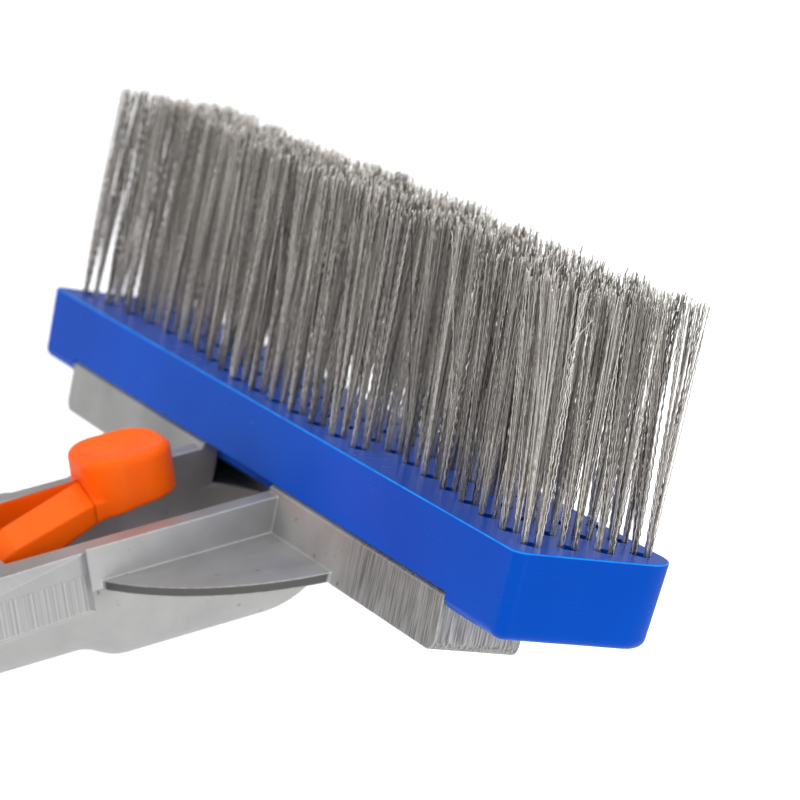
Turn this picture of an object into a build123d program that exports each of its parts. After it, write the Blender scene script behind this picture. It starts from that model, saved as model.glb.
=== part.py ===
from build123d import *
import math
import os

# Ten-inch pool wall brush: a blue block of steel wire tufts on a cast aluminium back, whose handle
# ends in a spigot for a telescopic pole. A plastic V clip in the handle locks the pole.
# Frame: millimetres, +X along the block, +Z along the bristles, the handle leaves towards -Y.
# Origin: on the spigot's axis, at the shoulder where its cylinder leaves the collar. The pieces are
# worked out from the centre of the block's bristle face, and moved to that origin at the end.

# ---- Driving dimensions: block and tufts --------------------------------------------------------
BLOCK_LENGTH = 254.0
BLOCK_WIDTH = 38.2
BLOCK_HEIGHT = 18.0
BLOCK_END_DRAFT = 1.0
BLOCK_REAR_DRAFT = 1.3
BLOCK_FRONT_CORNER = 3.0
BLOCK_REAR_CORNER = 8.0
BLOCK_UNDER_EDGE = 2.2
BLOCK_TOP_EDGE = 0.4

TUFT_COLUMNS = 23
TUFT_COLUMN_PITCH = 10.84
TUFT_ROW_PITCH = 8.4
TUFT_HOLE_RADIUS = 2.1
TUFT_HOLE_DEPTH = 12.0
TUFT_ROOT_RADIUS = 1.85
TUFT_TIP_RADIUS = 3.5
TUFT_LENGTH = 51.0
TUFT_GROWTH = 2.7
GROWTH_COLUMNS = 11.0
NEAR_COLUMNS = 7
NEAR_START = -11.8
NEAR_DRIFT = 1.15
FAR_START = -12.2
SWING = 5.2
SWING_START = 13.0
SWING_COLUMNS = 9.3
LAST_ROW_LIMIT = 15.9

STAPLE_LENGTH = 4.9
STAPLE_THICKNESS = 0.4
STAPLE_HEIGHT = 2.0
STAPLE_TURN = 140.0
STAPLE_SEAT = 0.1

# ---- Driving dimensions: back casting -------------------------------------------------------------
TRAY_LENGTH = 207.0
TRAY_WALL = 4.2
TRAY_DEPTH = 9.3
TRAY_DEEP_WIDTH = 19.4
TRAY_FLOOR = 3.0
TRAY_END_CORNER = 3.0
RIM_HEIGHT = 3.1
RIM_CHAMFER = 0.8
REBATE_GAP = 0.25
REBATE_FLARE = 2.5
REAR_FLANGE = 4.0

HANDLE_TILT = 20.4
ARM_GAP = 38.4
ARM_WALL = 4.8
ARM_TOP_BELOW_FACE = 16.5
AXIS_BELOW_ARM_TOP = 9.5
BELLY_START = 2.0
BELLY_END = 35.0
ARM_SIDE_END = 47.0

GUSSET_REACH = 43.4
GUSSET_SPREAD = 31.5
GUSSET_DROP = 7.7
GUSSET_THICKNESS = 2.1
GUSSET_STRAIGHT = 2.0
GUSSET_BULGE_SPREAD = 0.56
GUSSET_BULGE_REACH = 0.69

THROAT_START = 46.0
THROAT_RADIUS = 20.6
THROAT_WALL = 4.3
RAIL_START = 45.0
RAIL_DEPTH = 14.3
RAIL_STEP = 1.2
RAIL_FLARE = 4.4
RAIL_TOP_SLOPE = 1.5
RAIL_BEVEL = 4.0
RAIL_LIP = 1.2
RAIL_SHARP = 0.1
RAIL_NOSE = 3.0
TROUGH_END = 68.0
TROUGH_MOUTH = 6.0
COLLAR_END = 76.0
COLLAR_TAPER = 4.0
COLLAR_RISE = 12.0
COLLAR_STEP = 2.0
SPIGOT_START = 80.0
SPIGOT_RADIUS = 14.3
SPIGOT_BORE = 11.9
SPIGOT_LENGTH = 78.0
SPIGOT_CHAMFER = 1.0
ROOT_LAND = 32.0
TIP_LAND = 16.0
WAIST_RADIUS = 13.7
LOCK_FROM_SHOULDER = 50.0
LOCK_HOLE_RADIUS = 4.75

# ---- Driving dimensions: clip and screws ----------------------------------------------------------
PAD_FRONT = 15.8
PAD_LENGTH = 21.4
PAD_WIDTH = 21.0
PAD_CORNER = 8.0
PAD_UNDER = 8.0
PAD_TOP = 13.1
PAD_EDGE = 2.0
SCOOP_RADIUS = 27.0
SCOOP_DEPTH = 1.9
NOSE_UNDER = 2.6
BODY_BEND_AT = 28.0
BODY_BEND_UNDER = 1.2
CLIP_SEAM = 37.0
CLIP_SEAM_GAP = 0.12
PIVOT_AT = 34.5
PIVOT_SPREAD = 2.1
KNUCKLE_RADIUS = 1.6
KNUCKLE_BOTTOM = 0.6
KNUCKLE_TOP = 5.0
TONGUE_WIDTH = 2.0
TONGUE_PLAY = 0.25
RUNNING_CLEARANCE = 0.06
LEG_ELBOW = 58.0
LEG_STRAIGHT_FROM = 66.0
LEG_LENGTH = 102.0
BUTTON_RADIUS = 3.7
BUTTON_PROUD = 4.6
BUTTON_ROUNDING = 2.2
BUTTON_ROOT = 9.0

# Each leg is a bar through four sections. These are their corners, as distances from the middle
# plane and above the arm tops: at the body's seam, at the elbow, and all along the bore.
LEG_ROOT = [(0.5, -0.5), (9.0, -0.5), (9.0, 3.8), (0.5, 7.2)]
LEG_BEND = [(7.6, -5.6), (15.4, -5.6), (15.4, 0.9), (7.6, 3.8)]
LEG_IN_BORE = [(8.0, -13.5), (10.7, -13.5), (10.7, -5.5), (8.0, -1.5)]

SCREW_RADIUS = 1.9
SCREW_HEAD_RADIUS = 3.6
SCREW_HEAD_HEIGHT = 2.4
SCREW_HEAD_ROUNDING = 1.3
SCREW_SLOT_LENGTH = 4.0
SCREW_SLOT_WIDTH = 0.8
SCREW_SLOT_DEPTH = 1.2
SCREW_BITE = 9.0
SCREW_LINE = 8.0
SCREW_COLUMNS = (2, 8, 13, 19)

# ---- Places worked out from the driving dimensions ---------------------------------------------
BLOCK_FRONT = -BLOCK_WIDTH / 2
BLOCK_BACK = BLOCK_WIDTH / 2
BLOCK_UNDER = -BLOCK_HEIGHT
RIM_TOP = BLOCK_UNDER + RIM_HEIGHT
TRAY_UNDER = BLOCK_UNDER - TRAY_DEPTH
DEEP_BACK = BLOCK_FRONT + TRAY_DEEP_WIDTH
FLANGE_UNDER = BLOCK_UNDER - REAR_FLANGE
ARM_HALF_GAP = ARM_GAP / 2
ARM_HALF_WIDTH = ARM_HALF_GAP + ARM_WALL
LOCK_AT = SPIGOT_START + LOCK_FROM_SHOULDER
SPIGOT_END = SPIGOT_START + SPIGOT_LENGTH
BUTTON_TIP = SPIGOT_RADIUS + BUTTON_PROUD
WAIST_START = SPIGOT_START + ROOT_LAND
WAIST_END = SPIGOT_END - TIP_LAND
TAPER_START = COLLAR_END - COLLAR_TAPER

# The handle has its own frame: x across the arms, y up out of the open trough, z along the handle
# from the tray's front wall to the pole.
TILT = math.radians(HANDLE_TILT)
HANDLE = Plane(
    origin=(0, BLOCK_FRONT, -ARM_TOP_BELOW_FACE),
    x_dir=(1, 0, 0),
    z_dir=(0, -math.cos(TILT), -math.sin(TILT)),
)
AXIS_Y = -AXIS_BELOW_ARM_TOP
SHOULDER = HANDLE.from_local_coords(Vector(0, AXIS_Y, SPIGOT_START))

# Flat views inside the handle's frame: its plan, and its side with the distance along it first.
PLAN = Plane(origin=(0, 0, 0), x_dir=(1, 0, 0), z_dir=(0, -1, 0))
SIDE = Plane(origin=(0, 0, 0), x_dir=(0, 0, 1), z_dir=(-1, 0, 0))

UP = (Align.CENTER, Align.CENTER, Align.MIN)
DOWN = (Align.CENTER, Align.CENTER, Align.MAX)
OVERLAP = 1.0
CLEAR = 60.0


# ---- Small helpers -----------------------------------------------------------------------------
def block_between(low, high):
    """Box from its lowest to its highest corner."""
    size = [b - a for a, b in zip(low, high)]
    return Pos(*low) * Box(*size, align=(Align.MIN, Align.MIN, Align.MIN))


def drum(radius, start, end, tip_radius=None):
    """Cylinder or cone on the spigot's axis, between two stations along the handle."""
    length = end - start
    place = Pos(0, AXIS_Y, start)
    if tip_radius is None:
        return place * Cylinder(radius, length, align=UP)
    return place * Cone(radius, tip_radius, length, align=UP)


def waisted_drum(radius, start, end, tip_radius):
    """Turned shape on the spigot's axis whose radius eases from one value to the other."""
    ease = Spline((radius, start), (tip_radius, end), tangents=[(0, 1), (0, 1)])
    axis_line = Polyline((tip_radius, end), (0, end), (0, start), (radius, start))
    section = Plane.XZ * make_face(ease + axis_line)
    return Pos(0, AXIS_Y, 0) * revolve(section, Axis.Z)


def row_start(column):
    """Distance across the block of a column's first tuft. The rows run askew, then swing over."""
    if column < NEAR_COLUMNS:
        return NEAR_START + NEAR_DRIFT * column
    share = (column - SWING_START) / SWING_COLUMNS
    return FAR_START + SWING * math.sin(math.pi * min(max(share, 0), 1))


def tuft_rows(column):
    rows = [row_start(column) + TUFT_ROW_PITCH * row for row in range(4)]
    return [row for row in rows if row <= LAST_ROW_LIMIT]


def column_x(column):
    middle = (TUFT_COLUMNS - 1) / 2
    return (middle - column) * TUFT_COLUMN_PITCH


def tuft_places():
    return [(column_x(c), y) for c in range(TUFT_COLUMNS) for y in tuft_rows(c)]


def screw_places():
    """Screws rise through the rear flange, halfway between two columns of tuft holes."""
    return [(column_x(column + 0.5), SCREW_LINE) for column in SCREW_COLUMNS]


# ---- Brush block ---------------------------------------------------------------------------------
def block_outline(length, width):
    """Plan of the block at one height, with its front side always in the same place."""
    plan = Pos(0, BLOCK_FRONT + width / 2) * Rectangle(length, width)
    plan = fillet(plan.vertices().group_by(Axis.Y)[0], BLOCK_FRONT_CORNER)
    return fillet(plan.vertices().group_by(Axis.Y)[-1], BLOCK_REAR_CORNER)


def rebate_shape():
    """Cut that lets a tray wall in flush, flared where it meets the underside of the block."""
    reach = TRAY_LENGTH / 2 + REBATE_GAP
    top = RIM_TOP + REBATE_GAP
    turn = BLOCK_UNDER + REBATE_FLARE
    near_flare = REBATE_FLARE * (1 - math.sqrt(0.5))
    outline = Polyline((-reach, turn), (-reach, top), (reach, top), (reach, turn))
    outline += ThreePointArc(
        (reach, turn),
        (reach + near_flare, BLOCK_UNDER + near_flare),
        (reach + REBATE_FLARE, BLOCK_UNDER),
    )
    outline += ThreePointArc(
        (-reach, turn),
        (-reach - near_flare, BLOCK_UNDER + near_flare),
        (-reach - REBATE_FLARE, BLOCK_UNDER),
    )
    foot = BLOCK_UNDER - OVERLAP
    end = reach + REBATE_FLARE
    outline += Polyline((end, BLOCK_UNDER), (end, foot), (-end, foot), (-end, BLOCK_UNDER))
    return extrude(Plane.XZ * make_face(outline), TRAY_WALL + REBATE_GAP + OVERLAP)


def staple(x, y):
    """Flat staple at the bottom of a tuft hole, whose ends bite into the hole's wall."""
    size = (STAPLE_LENGTH, STAPLE_THICKNESS, STAPLE_HEIGHT)
    return Pos(x, y, -TUFT_HOLE_DEPTH) * Rot(0, 0, STAPLE_TURN) * Box(*size, align=UP)


def screw(x, y):
    shank = Pos(x, y, FLANGE_UNDER) * Cylinder(SCREW_RADIUS, REAR_FLANGE + SCREW_BITE, align=UP)
    head = Pos(x, y, FLANGE_UNDER) * Cylinder(SCREW_HEAD_RADIUS, SCREW_HEAD_HEIGHT, align=DOWN)
    head = fillet(head.edges().group_by(Axis.Z)[0], SCREW_HEAD_ROUNDING)
    head_bottom = Pos(x, y, FLANGE_UNDER - SCREW_HEAD_HEIGHT)
    slot = Box(SCREW_SLOT_LENGTH, SCREW_SLOT_WIDTH, 2 * SCREW_SLOT_DEPTH)
    return shank + head - head_bottom * slot - head_bottom * Rot(0, 0, 90) * slot


def brush_block():
    top = block_outline(BLOCK_LENGTH, BLOCK_WIDTH)
    bottom_length = BLOCK_LENGTH - 2 * BLOCK_END_DRAFT
    bottom = block_outline(bottom_length, BLOCK_WIDTH - BLOCK_REAR_DRAFT)
    body = loft([Plane.XY * top, Plane.XY.offset(BLOCK_UNDER) * bottom])
    body = fillet(body.edges().group_by(Axis.Z)[0], BLOCK_UNDER_EDGE)
    body = fillet(body.edges().group_by(Axis.Z)[-1], BLOCK_TOP_EDGE)
    front_rebate = Pos(0, BLOCK_FRONT + TRAY_WALL + REBATE_GAP, 0) * rebate_shape()
    rear_rebate = Pos(0, BLOCK_BACK + OVERLAP, 0) * rebate_shape()
    body = body - front_rebate - rear_rebate
    for x, y in tuft_places():
        body -= Pos(x, y, 0) * Cylinder(TUFT_HOLE_RADIUS, TUFT_HOLE_DEPTH, align=DOWN)
    for x, y in tuft_places():
        body -= staple(x, y)
    pilot = Cylinder(SCREW_RADIUS + RUNNING_CLEARANCE, SCREW_BITE + OVERLAP, align=UP)
    for x, y in screw_places():
        body -= Pos(x, y, BLOCK_UNDER) * pilot
    return body


# ---- Tufts -----------------------------------------------------------------------------------------
def tuft(x, y, length):
    """Envelope of one wire tuft: straight in its hole, then opening towards the tips."""
    root = STAPLE_HEIGHT - TUFT_HOLE_DEPTH + STAPLE_SEAT
    stem = Pos(x, y, root) * Cylinder(TUFT_ROOT_RADIUS, -root, align=UP)
    fan = Pos(x, y, 0) * Cone(TUFT_ROOT_RADIUS, TUFT_TIP_RADIUS, length, align=UP)
    return stem + fan


def tuft_column(column):
    """One row of tufts across the block. The columns grow a little longer towards the far end."""
    x = column_x(column)
    length = TUFT_LENGTH + TUFT_GROWTH * min(column / GROWTH_COLUMNS, 1)
    return Compound(children=[tuft(x, y, length) for y in tuft_rows(column)])


# ---- Back casting: tray ------------------------------------------------------------------------------
def tray():
    """Deep hollow box along the front of the block, and a flat flange under its rear half."""
    half = TRAY_LENGTH / 2
    deep = block_between((-half, BLOCK_FRONT, TRAY_UNDER), (half, DEEP_BACK, BLOCK_UNDER))
    corners = deep.edges().filter_by(Axis.Y).group_by(Axis.Z)[0]
    deep = fillet(corners, TRAY_END_CORNER)
    rim_bottom = BLOCK_UNDER - OVERLAP
    front_rim = block_between(
        (-half, BLOCK_FRONT, rim_bottom),
        (half, BLOCK_FRONT + TRAY_WALL, RIM_TOP),
    )
    top_edges = front_rim.edges().filter_by(Axis.X).group_by(Axis.Z)[-1]
    front_rim = chamfer(top_edges.group_by(Axis.Y)[0], RIM_CHAMFER)
    flange = block_between(
        (-half, DEEP_BACK - OVERLAP, FLANGE_UNDER),
        (half, BLOCK_BACK, BLOCK_UNDER),
    )
    rear_corners = flange.edges().filter_by(Axis.Z).group_by(Axis.Y)[-1]
    flange = fillet(rear_corners, TRAY_END_CORNER)
    rear_rim = block_between(
        (-half + TRAY_END_CORNER, BLOCK_BACK - TRAY_WALL, rim_bottom),
        (half - TRAY_END_CORNER, BLOCK_BACK, RIM_TOP),
    )
    return deep + front_rim + flange + rear_rim


def tray_hollow():
    half = TRAY_LENGTH / 2 - TRAY_WALL
    low = (-half, BLOCK_FRONT + TRAY_WALL, TRAY_UNDER + TRAY_FLOOR)
    high = (half, DEEP_BACK - TRAY_WALL, BLOCK_UNDER + OVERLAP)
    return block_between(low, high)


# ---- Back casting: handle ----------------------------------------------------------------------------
def trough_section(radius, top):
    """Upright sides over a round bottom, centred on the spigot's axis."""
    sides = Pos(0, (top + AXIS_Y) / 2) * Rectangle(2 * radius, top - AXIS_Y)
    bottom = Pos(0, AXIS_Y) * Circle(radius)
    below = Pos(0, AXIS_Y - radius) * Rectangle(2 * radius, 2 * radius)
    return sides + (bottom & below)


def gusset(side):
    """Flat web between one arm and the tray's front wall, with a curved outer edge."""
    arm = side * (ARM_HALF_WIDTH - OVERLAP)
    tip = side * (ARM_HALF_WIDTH + GUSSET_SPREAD)
    bulge_x = side * (ARM_HALF_WIDTH + GUSSET_BULGE_SPREAD * GUSSET_SPREAD)
    bulge = (bulge_x, GUSSET_REACH * GUSSET_BULGE_REACH)
    end = (arm, GUSSET_REACH)
    outline = Polyline(end, (arm, -OVERLAP), (tip, -OVERLAP), (tip, GUSSET_STRAIGHT))
    outline += ThreePointArc((tip, GUSSET_STRAIGHT), bulge, end)
    flat = PLAN.offset(GUSSET_DROP)
    return extrude(flat * make_face(outline), GUSSET_THICKNESS)


def rail_section(side, outer, slope, bevel):
    """Cross-section of a rail: level top, bevelled shoulder, upright face and undercut."""
    root = ARM_HALF_GAP - RAIL_NOSE
    outline = [(root, 0), (outer - slope, 0), (outer, -bevel), (outer, RAIL_LIP - RAIL_DEPTH)]
    outline += [(outer - RAIL_LIP, -RAIL_DEPTH), (root, -RAIL_DEPTH)]
    return make_face(Polyline(*[(side * x, y) for x, y in outline], close=True))


def rail(side):
    """Side rail that swells out of the arm, grows wider and closes on the collar."""
    widest = ARM_HALF_WIDTH + RAIL_FLARE
    start = rail_section(side, ARM_HALF_WIDTH + RAIL_STEP, RAIL_SHARP, RAIL_SHARP)
    full = rail_section(side, widest, RAIL_TOP_SLOPE, RAIL_BEVEL)
    tip = rail_section(side, widest - RAIL_NOSE, RAIL_TOP_SLOPE, RAIL_BEVEL)
    bar = loft([Plane.XY.offset(RAIL_START) * start, Plane.XY.offset(TAPER_START) * full])
    first_face = bar.faces().group_by(Axis.Z)[0]
    outer_edge = first_face.edges().filter_by(Axis.Y).sort_by(Axis.X)[-1 if side > 0 else 0]
    bar = fillet(outer_edge, RAIL_NOSE)
    nose = loft([Plane.XY.offset(TAPER_START) * full, Plane.XY.offset(COLLAR_END) * tip])
    return bar + nose


def above_trough():
    """Space over the open trough, which rises over the collar to the spigot."""
    far = COLLAR_END + CLEAR
    rise = [(-CLEAR, 0), (TROUGH_END - COLLAR_TAPER, 0), (COLLAR_END - COLLAR_STEP, COLLAR_RISE)]
    rise += [(far, COLLAR_RISE), (far, CLEAR), (-CLEAR, CLEAR)]
    return extrude(SIDE * make_face(Polyline(*rise, close=True)), CLEAR, both=True)


def handle_outside():
    side = extrude(trough_section(ARM_HALF_WIDTH, 0), BELLY_END - BELLY_START)
    body = Pos(0, 0, BELLY_START) * side
    body += block_between((-ARM_HALF_WIDTH, AXIS_Y, -RAIL_NOSE), (ARM_HALF_WIDTH, 0, ARM_SIDE_END))
    body += Pos(0, AXIS_Y, BELLY_START) * Sphere(ARM_HALF_WIDTH)
    body += waisted_drum(ARM_HALF_WIDTH, BELLY_END, THROAT_START, THROAT_RADIUS)
    body += drum(THROAT_RADIUS, THROAT_START, TAPER_START)
    body += drum(THROAT_RADIUS, TAPER_START, SPIGOT_START, SPIGOT_RADIUS + COLLAR_STEP)
    return body - above_trough() + rail(-1) + rail(1) + gusset(-1) + gusset(1)


def handle_hollow():
    """Open trough, narrowing to the spigot's bore."""
    wide = extrude(trough_section(ARM_HALF_GAP, CLEAR / 2), BELLY_END - BELLY_START)
    hollow = Pos(0, 0, BELLY_START) * wide
    hollow += Pos(0, AXIS_Y, BELLY_START) * Sphere(ARM_HALF_GAP)
    low = (-ARM_HALF_GAP, AXIS_Y, -CLEAR / 2)
    mouth_start = TROUGH_END - TROUGH_MOUTH
    hollow += block_between(low, (ARM_HALF_GAP, CLEAR / 2, mouth_start))
    narrow = THROAT_RADIUS - THROAT_WALL
    hollow += waisted_drum(ARM_HALF_GAP, BELLY_END, THROAT_START, narrow)
    hollow += drum(narrow, THROAT_START, mouth_start)
    hollow += drum(narrow, mouth_start, TROUGH_END, SPIGOT_BORE)
    return hollow


def spigot():
    """Tube with two full-size lands for the pole, and a waist between them."""
    tube = drum(SPIGOT_RADIUS, TAPER_START, SPIGOT_END)
    tube = chamfer(tube.edges().group_by(Axis.Z)[-1], SPIGOT_CHAMFER)
    waist = drum(SPIGOT_RADIUS + OVERLAP, WAIST_START, WAIST_END)
    waist -= drum(WAIST_RADIUS, WAIST_START, WAIST_END)
    return tube - waist


def back_casting():
    under_block = block_between(
        (-CLEAR - CLEAR / 2, BLOCK_FRONT, BLOCK_UNDER),
        (CLEAR + CLEAR / 2, CLEAR, CLEAR),
    )
    body = tray() + (HANDLE * handle_outside() - under_block)
    body -= tray_hollow()
    keep_rear = block_between((-CLEAR, DEEP_BACK - TRAY_WALL, -2 * CLEAR), (CLEAR, CLEAR, CLEAR))
    body -= HANDLE * handle_hollow() - keep_rear
    body += HANDLE * spigot()
    body -= HANDLE * drum(SPIGOT_BORE, TROUGH_END - OVERLAP, SPIGOT_END + OVERLAP)
    lock_hole = Pos(0, AXIS_Y, LOCK_AT) * Rot(0, 90, 0) * Cylinder(LOCK_HOLE_RADIUS, CLEAR)
    body -= HANDLE * lock_hole
    clearance_hole = Cylinder(SCREW_RADIUS + RUNNING_CLEARANCE, REAR_FLANGE + 2 * OVERLAP, align=UP)
    for x, y in screw_places():
        body -= Pos(x, y, FLANGE_UNDER - OVERLAP) * clearance_hole
    return body


# ---- Clip --------------------------------------------------------------------------------------------
def pad_outline():
    middle = PAD_FRONT + PAD_LENGTH / 2
    return PLAN * (Pos(0, middle) * RectangleRounded(PAD_WIDTH, PAD_LENGTH, PAD_CORNER))


def thumb_pad():
    """Rounded pad, hollowed for the thumb."""
    middle = PAD_FRONT + PAD_LENGTH / 2
    pad = extrude(pad_outline(), -PAD_TOP)
    pad -= block_between((-CLEAR, -CLEAR, 0), (CLEAR, PAD_UNDER, CLEAR))
    pad = fillet(pad.edges().group_by(Axis.Y)[-1], PAD_EDGE)
    return pad - Pos(0, PAD_TOP - SCOOP_DEPTH + SCOOP_RADIUS, middle) * Sphere(SCOOP_RADIUS)


def clip_body():
    """Body under the pad: it has the pad's outline, and ends in the section of the legs' roots."""
    rear = CLIP_SEAM - CLIP_SEAM_GAP
    middle = PAD_FRONT + PAD_LENGTH / 2
    under_pad = extrude(pad_outline(), CLEAR, both=True)
    other_root = [(-x, y) for x, y in reversed(LEG_ROOT)]
    both_roots = make_face(Polyline(*LEG_ROOT, *other_root, close=True))
    towards_legs = extrude(Plane.XY.offset(middle) * both_roots, rear - middle, dir=(0, 0, 1))
    under = [(PAD_FRONT - OVERLAP, NOSE_UNDER), (BODY_BEND_AT, BODY_BEND_UNDER), (rear, LEG_ROOT[0][1])]
    over = [(rear, PAD_UNDER + OVERLAP), (PAD_FRONT - OVERLAP, PAD_UNDER + OVERLAP)]
    side_view = extrude(SIDE * make_face(Polyline(*under, *over, close=True)), CLEAR, both=True)
    return (under_pad + towards_legs) & side_view


def knuckle(side, radius, width, play):
    """Round knuckle with a tongue towards its leg, at full size or grown into its socket."""
    low = KNUCKLE_BOTTOM - play
    high = KNUCKLE_TOP + play
    place = Pos(side * PIVOT_SPREAD, (low + high) / 2, PIVOT_AT)
    pin = place * Rot(90, 0, 0) * Cylinder(radius, high - low)
    inner = side * PIVOT_SPREAD - width / 2
    tongue = block_between((inner, low, PIVOT_AT), (inner + width, high, CLIP_SEAM + OVERLAP / 2))
    return pin + tongue


def clip_tab():
    """Thumb pad and body, with the two sockets that the legs turn in."""
    tab = thumb_pad() + clip_body()
    socket_radius = KNUCKLE_RADIUS + RUNNING_CLEARANCE
    for side in (-1, 1):
        tab -= knuckle(side, socket_radius, TONGUE_WIDTH + 2 * TONGUE_PLAY, RUNNING_CLEARANCE)
    return tab


def leg_section(side, corners, station):
    outline = Polyline(*[(side * x, y) for x, y in corners], close=True)
    return Plane.XY.offset(station) * make_face(outline)


def clip_leg(side):
    end = PIVOT_AT + LEG_LENGTH
    sections = [
        leg_section(side, LEG_ROOT, CLIP_SEAM),
        leg_section(side, LEG_BEND, LEG_ELBOW),
        leg_section(side, LEG_IN_BORE, LEG_STRAIGHT_FROM),
        leg_section(side, LEG_IN_BORE, end),
    ]
    leg = loft(sections, ruled=True)
    length = BUTTON_TIP - BUTTON_ROOT
    button = Cylinder(BUTTON_RADIUS, length)
    button = fillet(button.edges().group_by(Axis.Z)[-1], BUTTON_ROUNDING)
    middle = side * (BUTTON_ROOT + length / 2)
    leg += Pos(middle, AXIS_Y, LOCK_AT) * Rot(0, 90 * side, 0) * button
    return leg + knuckle(side, KNUCKLE_RADIUS, TONGUE_WIDTH, 0)


# ---- Write every piece -------------------------------------------------------------------------------
def main():
    pieces = {
        "brush_block": brush_block(),
        "back_casting": back_casting(),
        "clip_thumb_tab": HANDLE * clip_tab(),
        "clip_leg_left": HANDLE * clip_leg(-1),
        "clip_leg_right": HANDLE * clip_leg(1),
        "anchor_staples": Compound(children=[staple(x, y) for x, y in tuft_places()]),
        "block_screws": Compound(children=[screw(x, y) for x, y in screw_places()]),
    }
    for column in range(TUFT_COLUMNS):
        pieces[f"tuft_column_{column + 1:02d}"] = tuft_column(column)
    to_origin = Pos(-SHOULDER.X, -SHOULDER.Y, -SHOULDER.Z)
    os.makedirs("parts", exist_ok=True)
    for name, shape in pieces.items():
        export_step(to_origin * shape, f"parts/{name}.step")


main()
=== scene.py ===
import math

import bpy
import numpy as np
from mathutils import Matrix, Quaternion, Vector


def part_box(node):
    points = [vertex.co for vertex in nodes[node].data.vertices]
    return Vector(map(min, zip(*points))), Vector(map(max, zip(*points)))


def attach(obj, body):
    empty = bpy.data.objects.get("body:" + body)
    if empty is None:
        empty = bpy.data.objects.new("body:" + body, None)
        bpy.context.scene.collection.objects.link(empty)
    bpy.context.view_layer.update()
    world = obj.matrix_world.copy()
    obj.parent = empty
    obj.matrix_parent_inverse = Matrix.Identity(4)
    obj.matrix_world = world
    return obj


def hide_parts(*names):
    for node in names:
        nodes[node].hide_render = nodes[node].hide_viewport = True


# Looks of a ten-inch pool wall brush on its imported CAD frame. The CAD pieces get procedural
# materials, and crimped steel wires stand in for the closed tuft solids. Metres.

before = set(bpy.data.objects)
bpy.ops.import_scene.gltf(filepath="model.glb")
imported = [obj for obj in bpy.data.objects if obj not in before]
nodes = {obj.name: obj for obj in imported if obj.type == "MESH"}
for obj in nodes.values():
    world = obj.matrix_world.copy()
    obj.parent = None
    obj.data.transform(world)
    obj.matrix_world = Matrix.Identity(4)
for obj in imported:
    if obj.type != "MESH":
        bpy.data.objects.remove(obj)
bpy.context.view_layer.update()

MM = 0.001

# ---- Places taken from the frame -----------------------------------------------------------------
block_low, block_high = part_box("brush_block")
FACE = Vector(((block_low.x + block_high.x) / 2, (block_low.y + block_high.y) / 2, block_high.z))
BLOCK_HALF_LENGTH = (block_high.x - block_low.x) / 2
BLOCK_FRONT = block_low.y
TUFT_COLUMNS = sorted(name for name in nodes if name.startswith("tuft_column_"))

# ---- Places on the casting, as in the CAD source ---------------------------------------------------
# The handle has its own frame: along the handle from the tray's front wall, and up out of its trough.
HANDLE_TILT = math.radians(20.4)
ARM_TOP_BELOW_FACE = 16.5 * MM
ALONG = Vector((0, -math.cos(HANDLE_TILT), -math.sin(HANDLE_TILT)))
UP_OUT = Vector((0, -math.sin(HANDLE_TILT), math.cos(HANDLE_TILT)))
HANDLE_ORIGIN = Vector((FACE.x, BLOCK_FRONT, FACE.z - ARM_TOP_BELOW_FACE))
TRAY_HALF_LENGTH = 103.5 * MM
LINISHED_FROM = TRAY_HALF_LENGTH - 41 * MM
END_FACE_FROM = TRAY_HALF_LENGTH - 0.2 * MM
BESIDE_ARM = 24.8 * MM
CLEAR_OF_TRAY = 0.65 * MM
GUSSET_UNDER = -9.75 * MM
GUSSET_TOP = -7.75 * MM
GUSSET_END = 45.5 * MM
RAIL_START = 46.5 * MM
RAIL_END = 73.5 * MM
RAIL_BEVEL_FOOT = -4.9 * MM
RAIL_LIP_TOP = -14.0 * MM
SHOULDER = 79.5 * MM

# ---- Bristle wires -------------------------------------------------------------------------------
TUFT_PITCH = 8.4 * MM
ENVELOPE_RADIUS = 3.5 * MM
WIRE_RADIUS = 0.125 * MM
WIRE_SIDES = 4
WIRES_PER_HALF = 25
WIRE_DEPTH = 9.0 * MM
RINGS = 51
CRIMP = 0.10 * MM
BUNDLE_RADIUS = 0.66 * MM
HALF_OFFSET = 1.4 * MM
TIP_OFFSET = 1.7 * MM
TIP_RADIUS = 2.05 * MM
SPLIT_ANGLE = math.radians(50)
FAN_POWER = 1.25
NEAR_LEAN = -3.2 * MM
FAR_LEAN = 2.4 * MM

# How much tufts and wires differ from each other: spreads are standard deviations, shares are odds.
TUFT_LEAN_SPREAD = 0.5 * MM
HALF_LEAN_SPREAD = 0.7 * MM
TIP_SPREAD = 0.85 * MM
STRAY_SHARE = 0.09
STRAY_SPREAD = 2.6 * MM
TUFT_HEIGHT_SPREAD = 0.5 * MM
WIRE_HEIGHT_SPREAD = 0.7 * MM
SHORT_SHARE = 0.12
SHORT_LEAST = 1.0 * MM
SHORT_MOST = 4.0 * MM
BOW_SPREAD = 0.35 * MM
HEADING_SPREAD = 0.4
FLIPPED_SHARE = 0.35
BENT_SHARE = 0.015
BENT_LENGTH = 7 * MM
BENT_SLOPE = 0.7
BENT_DROP = 0.25
SHADE_POWER = 0.8
FIRST_SEED = 4100

# One lone wire beyond the near end: its foot and tip from the middle of the block's face.
LONE_FOOT = np.array([116.0, 17.7]) * MM
LONE_TIP = np.array([120.0, 16.4]) * MM
LONE_TOP = 50.5 * MM
LONE_DEPTH = 2 * MM
LONE_CURL = 2.2

WIRE_COUNT = 2 * WIRES_PER_HALF
WIRE_HALF = np.where(np.arange(WIRE_COUNT) < WIRES_PER_HALF, -1.0, 1.0)
SPLIT = np.array([math.cos(SPLIT_ANGLE), math.sin(SPLIT_ANGLE)])
ZIGZAG = np.where(np.arange(RINGS) % 2 == 0, 1.0, -1.0) * CRIMP

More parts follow.
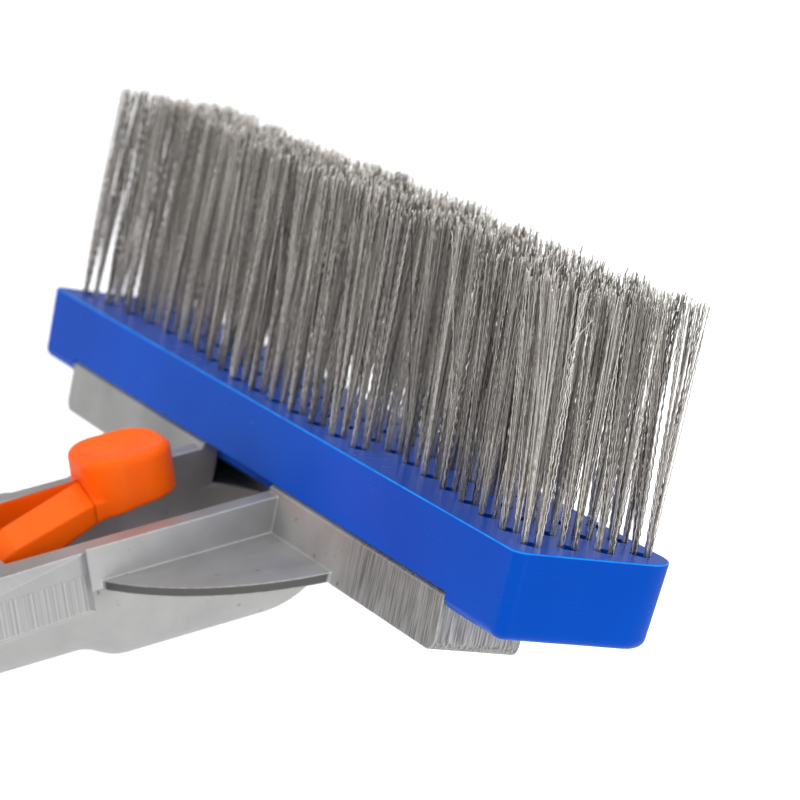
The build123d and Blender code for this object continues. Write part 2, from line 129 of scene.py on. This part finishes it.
# ---- Camera, floor and studio ----------------------------------------------------------------------
# Camera places are measured from the middle of the block's face.
CAMERA_PLACE = Vector((0.62401, -0.32139, 0.11608))
CAMERA_TARGET = Vector((0.00725, 0.01490, 0.00487))
CAMERA_ROLL = math.radians(11.576)
CAMERA_LENS = 140.78
CAMERA_SENSOR = 36.0
CAMERA_STOP = 32.0
CAMERA_CLIP = 0.05
SHARPEST = Vector((BLOCK_HALF_LENGTH - 12 * MM, 0, 25 * MM))
FLOOR_HALF = 14.0
FLOOR_DROP = 0.45
FLOOR_GLOW = 0.35
GLOSS_FADE_START = 0.7
GLOSS_FADE_END = 2.0
DARK_SIDE = Vector((-0.85, -0.45, -0.25)).normalized()
DARK_SIDE_STRENGTH = 0.22
BRIGHT_SIDE_STRENGTH = 0.85
AMBIENT_STRENGTH = 1.05


# ---- Node graph helpers --------------------------------------------------------------------------
class Look:
    """A material under construction: adds nodes and returns their output sockets."""

    def __init__(self, name):
        self.material = bpy.data.materials.new(name)
        self.material.use_nodes = True
        self.tree = self.material.node_tree
        self.shader = self.tree.nodes["Principled BSDF"]
        coordinates = self.tree.nodes.new("ShaderNodeTexCoord")
        self.place = coordinates.outputs["Object"]
        geometry = self.tree.nodes.new("ShaderNodeNewGeometry")
        self.normal = geometry.outputs["Normal"]

    def join(self, source, target):
        if isinstance(source, bpy.types.NodeSocket):
            self.tree.links.new(source, target)
        else:
            target.default_value = source

    def set(self, name, source):
        self.join(source, self.shader.inputs[name])

    def math(self, operation, first, second=0.0):
        node = self.tree.nodes.new("ShaderNodeMath")
        node.operation = operation
        self.join(first, node.inputs[0])
        self.join(second, node.inputs[1])
        return node.outputs[0]

    def product(self, first, *others):
        for other in others:
            first = self.math("MULTIPLY", first, other)
        return first

    def vector_math(self, operation, first, second):
        node = self.tree.nodes.new("ShaderNodeVectorMath")
        node.operation = operation
        self.join(first, node.inputs[0])
        self.join(second, node.inputs[1])
        return node.outputs["Value"]

    def dot(self, first, second):
        return self.vector_math("DOT_PRODUCT", first, second)

    def stretched(self, scale):
        node = self.tree.nodes.new("ShaderNodeMapping")
        self.join(self.place, node.inputs["Vector"])
        node.inputs["Scale"].default_value = scale
        return node.outputs["Vector"]

    def noise(self, scale, detail=3.0, vector=None, roughness=0.55):
        node = self.tree.nodes.new("ShaderNodeTexNoise")
        self.join(vector or self.place, node.inputs["Vector"])
        node.inputs["Scale"].default_value = scale
        node.inputs["Detail"].default_value = detail
        node.inputs["Roughness"].default_value = roughness
        return node.outputs["Fac"]

    def bands(self, distance, per_metre):
        """Noise that changes only with the distance, as turning marks do."""
        node = self.tree.nodes.new("ShaderNodeTexNoise")
        node.noise_dimensions = "1D"
        node.inputs["Scale"].default_value = 1.0
        node.inputs["Detail"].default_value = 1.0
        self.join(self.math("MULTIPLY", distance, per_metre), node.inputs["W"])
        return node.outputs["Fac"]

    def spread(self, value, low, high, to_low=0.0, to_high=1.0):
        """Maps low..high to to_low..to_high and clamps."""
        node = self.tree.nodes.new("ShaderNodeMapRange")
        self.join(value, node.inputs["Value"])
        node.inputs["From Min"].default_value = low
        node.inputs["From Max"].default_value = high
        node.inputs["To Min"].default_value = to_low
        node.inputs["To Max"].default_value = to_high
        return node.outputs["Result"]

    def above(self, value, edge, blur):
        """1 where the value is above the edge and 0 below it."""
        return self.spread(value, edge - blur / 2, edge + blur / 2)

    def below(self, value, edge, blur):
        """1 where the value is below the edge and 0 above it."""
        return self.spread(value, edge + blur / 2, edge - blur / 2)

    def mix(self, share, first, second):
        node = self.tree.nodes.new("ShaderNodeMix")
        node.data_type = "RGBA"
        self.join(share, node.inputs["Factor"])
        self.join(first, node.inputs["A"])
        self.join(second, node.inputs["B"])
        return node.outputs["Result"]

    def bump(self, height, strength, distance, normal=None):
        node = self.tree.nodes.new("ShaderNodeBump")
        node.inputs["Strength"].default_value = strength
        node.inputs["Distance"].default_value = distance
        self.join(height, node.inputs["Height"])
        if normal is not None:
            self.join(normal, node.inputs["Normal"])
        return node.outputs["Normal"]

    def soft_edges(self, radius):
        node = self.tree.nodes.new("ShaderNodeBevel")
        node.samples = 4
        node.inputs["Radius"].default_value = radius
        return node.outputs["Normal"]


def grey(level, warmth=0.0):
    return (level * (1 + warmth), level, level * (1 - warmth), 1.0)


# ---- Materials -----------------------------------------------------------------------------------
def block_plastic():
    """Gloss blue moulding with a painted highlight along its rounded top edge."""
    deep_blue = (0.001, 0.056, 0.41, 1)
    light_blue = (0.002, 0.070, 0.48, 1)
    highlight_blue = (0.01, 0.27, 0.95, 1)
    look = Look("block_plastic")
    cloud = look.noise(scale=18.0, detail=2.0)
    colour = look.mix(look.spread(cloud, 0.35, 0.65), deep_blue, light_blue)

    # Painted highlight: lighter blue on the rounded top edge, where the surface faces partly upward.
    up_facing = look.dot(look.normal, (0, 0, 1))
    rounding = look.product(look.spread(up_facing, 0.12, 0.4), look.spread(up_facing, 0.97, 0.85))
    height = look.dot(look.place, (0, 0, 1))
    near_top = look.above(height, FACE.z - 0.65 * MM, blur=0.3 * MM)
    uneven = look.spread(look.noise(scale=260.0, detail=2.0), 0.2, 0.6, to_low=0.55)
    look.set("Base Color", look.mix(look.product(rounding, near_top, uneven), colour, highlight_blue))

    look.set("Specular IOR Level", 0.12)
    look.set("Specular Tint", (0.25, 0.6, 1.0, 1))
    scuffs = look.noise(scale=1.0, vector=look.stretched((70.0, 70.0, 240.0)))
    look.set("Roughness", look.spread(scuffs, 0.3, 0.75, to_low=0.22, to_high=0.29))

    ripple = look.noise(scale=55.0, detail=1.0)
    grain = look.noise(scale=2600.0, detail=2.0)
    lines = look.noise(scale=1.0, detail=2.0, vector=look.stretched((900.0, 1500.0, 60.0)))
    scratches = look.spread(lines, 0.68, 0.74)
    normal = look.soft_edges(0.3 * MM)
    normal = look.bump(ripple, strength=0.25, distance=0.4 * MM, normal=normal)
    normal = look.bump(scratches, strength=0.12, distance=0.05 * MM, normal=normal)
    normal = look.bump(grain, strength=0.05, distance=0.04 * MM, normal=normal)
    look.set("Normal", normal)
    return look.material


def sawn_places(look, near_side, across):
    """The tray's sawn end faces, and the front wall that is linished towards its near end."""
    near_wall = look.above(near_side, LINISHED_FROM, blur=10 * MM)
    end_face = look.above(across, END_FACE_FROM, blur=0.2 * MM)
    return look.math("MAXIMUM", near_wall, end_face)


def turned_places(look, along, up_out):
    """The upright flanks of the side rails, cut on the lathe with the spigot."""
    sideways = look.math("ABSOLUTE", look.dot(look.normal, (1, 0, 0)))
    return look.product(
        look.above(along, RAIL_START, blur=1 * MM),
        look.below(up_out, RAIL_BEVEL_FOOT, blur=0.6 * MM),
        look.above(up_out, RAIL_LIP_TOP, blur=0.4 * MM),
        look.below(along, RAIL_END, blur=1 * MM),
        look.above(sideways, 0.8, blur=0.2),
    )


def gusset_edges(look, along, up_out, across):
    """The upright edges of the two gusset plates, where shade is painted."""
    in_front = look.math("ADD", look.dot(look.place, (0, -1, 0)), BLOCK_FRONT)
    facing_up = look.math("ABSOLUTE", look.dot(look.normal, UP_OUT))
    return look.product(
        look.above(up_out, GUSSET_UNDER, blur=0.3 * MM),
        look.below(up_out, GUSSET_TOP, blur=0.3 * MM),
        look.below(facing_up, 0.5, blur=0.2),
        look.above(across, BESIDE_ARM, blur=0.4 * MM),
        look.above(in_front, CLEAR_OF_TRAY, blur=0.3 * MM),
        look.below(along, GUSSET_END, blur=1 * MM),
    )


def cast_aluminium():
    """Matt casting skin, brighter where it is sawn or turned, with a painted highlight on its rounded
    corners.
    """
    look = Look("cast_aluminium")
    along = look.math("ADD", look.dot(look.place, ALONG), -HANDLE_ORIGIN.dot(ALONG))
    up_out = look.math("ADD", look.dot(look.place, UP_OUT), -HANDLE_ORIGIN.dot(UP_OUT))
    near_side = look.math("SUBTRACT", look.dot(look.place, (1, 0, 0)), FACE.x)
    across = look.math("ABSOLUTE", near_side)
    sawn = sawn_places(look, near_side, across)
    turned = turned_places(look, along, up_out)
    cut = look.math("MAXIMUM", sawn, turned)
    gusset_shade = gusset_edges(look, along, up_out, across)

    streaks = look.noise(scale=1.0, vector=look.stretched((2600.0, 2600.0, 120.0)))
    rings = look.bands(along, per_metre=1900.0)
    skin = look.noise(scale=900.0, detail=4.0)
    blotch = look.noise(scale=45.0, detail=4.0, roughness=0.65)
    pits = look.spread(look.noise(scale=420.0, detail=2.0), 0.70, 0.78)
    rounded = look.soft_edges(0.5 * MM)
    # Painted highlight: near-white on the rounded corners, broken up by the skin noise.
    corner = look.spread(look.dot(rounded, look.normal), 0.99, 0.9)
    corner_highlight = look.product(corner, look.spread(skin, 0.3, 0.6, to_low=0.35, to_high=0.9))

    tone = look.mix(look.spread(blotch, 0.3, 0.7), grey(0.43), grey(0.57, 0.01))
    tone = look.mix(look.product(pits, 0.6), tone, grey(0.10, 0.03))
    sawn_tone = look.mix(look.spread(streaks, 0.35, 0.65), grey(0.13, 0.02), grey(0.52))
    ring_tone = look.mix(look.spread(rings, 0.35, 0.65), grey(0.38, 0.02), grey(0.58))
    tone = look.mix(look.product(cut, 0.85), tone, look.mix(turned, sawn_tone, ring_tone))
    # Painted shade: the upright edges of the gusset plates are darkened nearly to black.
    tone = look.mix(look.product(gusset_shade, 0.85), tone, grey(0.07, 0.02))
    look.set("Base Color", look.mix(corner_highlight, tone, grey(0.92)))

    look.set("Metallic", 0.86)
    roughness = look.spread(blotch, 0.3, 0.7, to_low=0.44, to_high=0.58)
    look.set("Roughness", look.math("SUBTRACT", roughness, look.product(cut, 0.06)))

    spigot = look.above(along, SHOULDER, blur=1 * MM)
    ring_share = look.math("MAXIMUM", turned, look.product(spigot, 0.4))
    normal = look.bump(blotch, strength=0.25, distance=0.8 * MM, normal=rounded)
    normal = look.bump(skin, strength=0.22, distance=0.12 * MM, normal=normal)
    normal = look.bump(look.product(streaks, sawn), strength=0.5, distance=0.18 * MM, normal=normal)
    normal = look.bump(look.product(rings, ring_share), strength=0.45, distance=0.15 * MM, normal=normal)
    look.set("Normal", normal)
    return look.material


def clip_plastic():
    """Orange moulding with a slightly waxy surface."""
    deep_orange = (0.93, 0.105, 0.001, 1)
    light_orange = (1.0, 0.13, 0.002, 1)
    look = Look("clip_plastic")
    cloud = look.noise(scale=40.0, detail=2.0)
    look.set("Base Color", look.mix(look.spread(cloud, 0.35, 0.65), deep_orange, light_orange))
    wear = look.noise(scale=300.0)
    look.set("Roughness", look.spread(wear, 0.35, 0.7, to_low=0.32, to_high=0.46))
    look.set("Specular IOR Level", 0.35)
    look.set("Specular Tint", (1.0, 0.6, 0.3, 1))
    look.set("Subsurface Weight", 0.08)
    look.set("Subsurface Radius", (2.0 * MM, 0.6 * MM, 0.2 * MM))
    look.set("Subsurface Scale", 1.0)
    grain = look.noise(scale=1600.0, detail=2.0)
    rounded = look.soft_edges(0.9 * MM)
    look.set("Normal", look.bump(grain, strength=0.10, distance=0.06 * MM, normal=rounded))
    return look.material


def bristle_wire():
    """Stainless wire: each wire has its own shade, with brown tarnish in places."""
    tarnish_brown = (0.16, 0.12, 0.08, 1)
    look = Look("bristle_wire")
    attribute = look.tree.nodes.new("ShaderNodeAttribute")
    attribute.attribute_name = "shade"
    shade = attribute.outputs["Fac"]
    tone = look.mix(shade, grey(0.06, 0.12), grey(1.0, 0.05))
    tarnish = look.spread(look.noise(scale=700.0), 0.55, 0.72)
    look.set("Base Color", look.mix(look.product(tarnish, 0.45), tone, tarnish_brown))
    look.set("Metallic", 1.0)
    look.set("Roughness", look.spread(shade, 0.0, 1.0, to_low=0.40, to_high=0.24))
    grain = look.noise(scale=5200.0, detail=2.0)
    look.set("Normal", look.bump(grain, strength=0.3, distance=0.03 * MM))
    return look.material


def plain_steel(name, level, roughness):
    look = Look(name)
    wear = look.noise(scale=500.0, detail=4.0)
    look.set("Base Color", look.mix(look.spread(wear, 0.35, 0.7), grey(level, 0.02), grey(level * 0.7, 0.04)))
    look.set("Metallic", 1.0)
    look.set("Roughness", look.spread(wear, 0.3, 0.7, to_low=roughness, to_high=roughness + 0.15))
    grain = look.noise(scale=2400.0, detail=2.0)
    rounded = look.soft_edges(0.15 * MM)
    look.set("Normal", look.bump(grain, strength=0.2, distance=0.05 * MM, normal=rounded))
    return look.material


# ---- Wires -----------------------------------------------------------------------------------------
def wire_ends(random, x):
    """Where the wires of a tuft at x leave the block and where their tips are, from its middle."""
    turn = random.uniform(0, 2 * math.pi, WIRE_COUNT)
    reach = np.sqrt(random.uniform(0, 1, WIRE_COUNT))
    seat = np.stack([np.cos(turn), np.sin(turn)], axis=1) * reach[:, None]
    root = seat * BUNDLE_RADIUS + SPLIT * (WIRE_HALF * HALF_OFFSET)[:, None]

    tuft_lean = random.normal(0, TUFT_LEAN_SPREAD, 2)
    toward_far = (FACE.x - x) / BLOCK_HALF_LENGTH
    tuft_lean[1] += (NEAR_LEAN + FAR_LEAN) / 2 + toward_far * (FAR_LEAN - NEAR_LEAN) / 2
    half_lean = random.normal(0, HALF_LEAN_SPREAD, (2, 2))
    lean = tuft_lean + np.where(WIRE_HALF[:, None] < 0, half_lean[0], half_lean[1])
    tip = seat * TIP_RADIUS + SPLIT * (WIRE_HALF * TIP_OFFSET)[:, None] + lean
    tip += random.normal(0, TIP_SPREAD, (WIRE_COUNT, 2))
    stray = random.uniform(0, 1, WIRE_COUNT) < STRAY_SHARE
    tip += np.where(stray[:, None], random.normal(0, STRAY_SPREAD, (WIRE_COUNT, 2)), 0.0)
    return root, tip


def wire_tops(random, length):
    """Height of each wire's tip above the block. A few wires are cut short."""
    top = length + random.normal(0, TUFT_HEIGHT_SPREAD) + random.normal(0, WIRE_HEIGHT_SPREAD, WIRE_COUNT)
    cut_short = random.uniform(0, 1, WIRE_COUNT) < SHORT_SHARE
    return top - np.where(cut_short, random.uniform(SHORT_LEAST, SHORT_MOST, WIRE_COUNT), 0.0)


def crimp_headings(random):
    """Direction that each wire's zigzag swings in, nearly alike within one half of a tuft."""
    half_heading = random.uniform(0, math.pi, 2)
    heading = np.where(WIRE_HALF < 0, half_heading[0], half_heading[1])
    heading += random.normal(0, HEADING_SPREAD, WIRE_COUNT)
    flip = np.where(random.uniform(0, 1, WIRE_COUNT) < FLIPPED_SHARE, -1.0, 1.0)
    return np.stack([np.cos(heading), np.sin(heading)], axis=1) * flip[:, None]


def bend_some(random, plan, height, top):
    """Turns the last stretch of a few wires outwards."""
    bent = random.uniform(0, 1, WIRE_COUNT) < BENT_SHARE
    turn_out = random.normal(0, 1, (WIRE_COUNT, 2))
    turn_out /= np.linalg.norm(turn_out, axis=1)[:, None]
    tail = np.clip(height - (top - BENT_LENGTH)[:, None], 0, None) * BENT_SLOPE
    plan = plan + np.where(bent[:, None, None], turn_out[:, None, :] * tail[..., None], 0.0)
    return plan, height - np.where(bent[:, None], tail * BENT_DROP, 0.0)


def tuft_wires(random, x, y, length):
    """Centre lines of one tuft's wires, as an array of wires by points by xyz."""
    root, tip = wire_ends(random, x)
    top = wire_tops(random, length)
    share = np.linspace(0, 1, RINGS)[None, :]
    height = -WIRE_DEPTH + (top + WIRE_DEPTH)[:, None] * share
    above = np.clip(height / top[:, None], 0, 1)
    fan = (above ** FAN_POWER)[..., None]
    bow = random.normal(0, BOW_SPREAD, (WIRE_COUNT, 2))
    plan = root[:, None, :] * (1 - fan) + tip[:, None, :] * fan
    plan += bow[:, None, :] * np.sin(math.pi * above)[..., None]
    plan += crimp_headings(random)[:, None, :] * ZIGZAG[None, :, None]
    plan, height = bend_some(random, plan, height, top)
    return np.concatenate([plan + np.array([x, y]), height[..., None] + FACE.z], axis=2)


def lone_wire():
    """A wire that has sprung away from the end tufts."""
    share = np.linspace(0, 1, RINGS)
    middle = np.array([FACE.x, FACE.y])
    plan = middle + LONE_FOOT + (LONE_TIP - LONE_FOOT) * (share ** LONE_CURL)[:, None]
    plan[:, 0] += ZIGZAG / 2
    height = FACE.z - LONE_DEPTH + (LONE_TOP + LONE_DEPTH) * share
    return np.concatenate([plan, height[:, None]], axis=1)[None]


def tube_points(paths):
    """Corners of a thin square tube along each path."""
    axis = paths[:, -1] - paths[:, 0]
    axis /= np.linalg.norm(axis, axis=1)[:, None]
    side = np.cross(axis, np.array([0.0, 1.0, 0.0]))
    side /= np.linalg.norm(side, axis=1)[:, None]
    other = np.cross(axis, side)
    angles = (np.arange(WIRE_SIDES) * 2 * math.pi / WIRE_SIDES)[None, :, None]
    circle = np.cos(angles) * side[:, None, :] + np.sin(angles) * other[:, None, :]
    return paths[:, :, None, :] + WIRE_RADIUS * circle[:, None, :, :]


def tube_faces(wires, rings):
    """Side faces of all the tubes, and a face that closes each tip."""
    first = np.arange(wires) * rings * WIRE_SIDES
    corner = np.arange(WIRE_SIDES)
    after = (corner + 1) % WIRE_SIDES
    lower = first[:, None, None] + (np.arange(rings - 1) * WIRE_SIDES)[None, :, None]
    upper = lower + WIRE_SIDES
    sides = np.stack([lower + corner, lower + after, upper + after, upper + corner], axis=-1)
    caps = first[:, None] + (rings - 1) * WIRE_SIDES + corner
    return np.concatenate([sides.reshape(-1, 4), caps])


def tube_mesh(name, paths, shades):
    """One mesh of all the tubes, with each wire's shade as an attribute."""
    wires, rings, _ = paths.shape
    faces = tube_faces(wires, rings)
    mesh = bpy.data.meshes.new(name)
    mesh.from_pydata(tube_points(paths).reshape(-1, 3), [], faces)
    mesh.polygons.foreach_set("use_smooth", np.ones(len(faces), bool))
    attribute = mesh.attributes.new("shade", "FLOAT", "POINT")
    attribute.data.foreach_set("value", np.repeat(shades, rings * WIRE_SIDES).astype(np.float32))
    mesh.update()
    return mesh


def tuft_rows(low, high):
    """Distances across the block of the tufts in one column, from the column's box."""
    first = low.y + ENVELOPE_RADIUS
    count = round((high.y - ENVELOPE_RADIUS - first) / TUFT_PITCH) + 1
    return [first + TUFT_PITCH * row for row in range(count)]


def wire_column(number, column, material):
    """All the wires of one column of tufts, as one piece that stands for its CAD solids."""
    random = np.random.default_rng(FIRST_SEED + number)
    low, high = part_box(column)
    x = (low.x + high.x) / 2
    length = high.z - FACE.z
    tufts = [tuft_wires(random, x, y, length) for y in tuft_rows(low, high)]
    if number == 0:
        tufts.append(lone_wire())
    paths = np.concatenate(tufts)
    shades = random.uniform(0, 1, len(paths)) ** SHADE_POWER
    name = column.replace("tuft_column", "wires_column")
    piece = bpy.data.objects.new(name, tube_mesh(name, paths, shades))
    bpy.context.scene.collection.objects.link(piece)
    piece.data.materials.append(material)
    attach(piece, "brush")
    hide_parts(column)


# ---- Dress the CAD pieces --------------------------------------------------------------------------
def dress(node, material):
    piece = nodes[node]
    piece.data.materials.clear()
    piece.data.materials.append(material)


# ---- Stage, lights and camera ----------------------------------------------------------------------
def floor():
    """Pale sheet far below the brush. To glossy rays it is painted darker with distance, as painted shade far
    from the lamps.
    """
    height = FACE.z - FLOOR_DROP
    signs = [(-1, -1), (1, -1), (1, 1), (-1, 1)]
    mesh = bpy.data.meshes.new("floor")
    mesh.from_pydata([(x * FLOOR_HALF, y * FLOOR_HALF, height) for x, y in signs], [], [(0, 1, 2, 3)])
    sheet = bpy.data.objects.new("floor", mesh)
    bpy.context.scene.collection.objects.link(sheet)

    look = Look("studio_floor")
    path = look.tree.nodes.new("ShaderNodeLightPath")
    from_middle = look.vector_math("DISTANCE", look.place, (FACE.x, FACE.y, height))
    # Painted shade in reflections: to glossy rays the floor darkens away from the brush.
    fade = look.spread(from_middle, GLOSS_FADE_START, GLOSS_FADE_END)
    reflected_shade_tone = look.mix(fade, grey(0.80), grey(0.34))
    look.set("Base Color", look.mix(path.outputs["Is Glossy Ray"], grey(1.0), reflected_shade_tone))
    grain = look.noise(scale=3.0, detail=2.0)
    look.set("Roughness", look.spread(grain, 0.3, 0.7, to_low=0.95, to_high=0.97))
    look.set("Emission Color", grey(1.0))
    look.set("Emission Strength", look.product(path.outputs["Is Camera Ray"], FLOOR_GLOW))
    mesh.materials.append(look.material)


def surroundings():
    """White studio: white to the camera, with a darker side for the metal to mirror."""
    world = bpy.data.worlds.new("studio")
    bpy.context.scene.world = world
    world.use_nodes = True
    tree = world.node_tree
    background = tree.nodes["Background"]
    coordinates = tree.nodes.new("ShaderNodeTexCoord")
    toward = tree.nodes.new("ShaderNodeVectorMath")
    toward.operation = "DOT_PRODUCT"
    toward.inputs[1].default_value = DARK_SIDE
    tree.links.new(coordinates.outputs["Generated"], toward.inputs[0])
    shade = tree.nodes.new("ShaderNodeMapRange")
    shade.inputs["From Min"].default_value = -0.4
    shade.inputs["From Max"].default_value = 0.9
    shade.inputs["To Min"].default_value = BRIGHT_SIDE_STRENGTH
    shade.inputs["To Max"].default_value = DARK_SIDE_STRENGTH
    tree.links.new(toward.outputs["Value"], shade.inputs["Value"])
    path = tree.nodes.new("ShaderNodeLightPath")
    strength = tree.nodes.new("ShaderNodeMix")
    strength.data_type = "FLOAT"
    tree.links.new(path.outputs["Is Glossy Ray"], strength.inputs["Factor"])
    strength.inputs["A"].default_value = AMBIENT_STRENGTH
    tree.links.new(shade.outputs["Result"], strength.inputs["B"])
    tree.links.new(strength.outputs["Result"], background.inputs["Strength"])
    background.inputs["Color"].default_value = (1, 1, 1, 1)


def softbox(name, direction, distance, width, height, power):
    """Rectangular lamp that faces the brush from a direction."""
    light = bpy.data.lights.new(name, "AREA")
    light.shape = "RECTANGLE"
    light.size = width
    light.size_y = height
    light.energy = power
    lamp = bpy.data.objects.new(name, light)
    bpy.context.scene.collection.objects.link(lamp)
    away = Vector(direction).normalized()
    lamp.location = FACE + away * distance
    lamp.rotation_mode = "QUATERNION"
    lamp.rotation_quaternion = (-away).to_track_quat("-Z", "Y")


def camera():
    """Long lens, rolled so that the brush lies tilted in the picture, and sharpest at its near end."""
    data = bpy.data.cameras.new("camera")
    data.lens = CAMERA_LENS
    data.sensor_width = CAMERA_SENSOR
    data.clip_start = CAMERA_CLIP
    eye = bpy.data.objects.new("camera", data)
    bpy.context.scene.collection.objects.link(eye)
    place = FACE + CAMERA_PLACE
    target = FACE + CAMERA_TARGET
    eye.location = place
    eye.rotation_mode = "QUATERNION"
    facing = (target - place).to_track_quat("-Z", "Y")
    eye.rotation_quaternion = facing @ Quaternion((0, 0, 1), CAMERA_ROLL)

    sharpest = bpy.data.objects.new("focus_point", None)
    sharpest.location = FACE + SHARPEST
    bpy.context.scene.collection.objects.link(sharpest)
    data.dof.use_dof = True
    data.dof.focus_object = sharpest
    data.dof.aperture_fstop = CAMERA_STOP
    bpy.context.scene.camera = eye


# ---- Build -----------------------------------------------------------------------------------------
orange = clip_plastic()
dress("brush_block", block_plastic())
dress("back_casting", cast_aluminium())
dress("clip_thumb_tab", orange)
dress("clip_leg_left", orange)
dress("clip_leg_right", orange)
dress("anchor_staples", plain_steel("staple_wire", level=0.55, roughness=0.35))
dress("block_screws", plain_steel("screw_steel", level=0.60, roughness=0.28))
wire = bristle_wire()
for number, column in enumerate(TUFT_COLUMNS):
    wire_column(number, column, wire)

floor()
surroundings()
softbox("front_light", (-0.36, -0.91, -0.05), distance=1.6, width=0.40, height=1.1, power=3.4)
softbox("end_light", (0.97, 0.155, -0.05), distance=1.6, width=0.40, height=1.1, power=4.6)
softbox("top_light", (0.2, -0.3, 1.0), distance=1.4, width=1.2, height=1.2, power=5.0)
camera()
bpy.context.scene.view_settings.view_transform = "Standard"
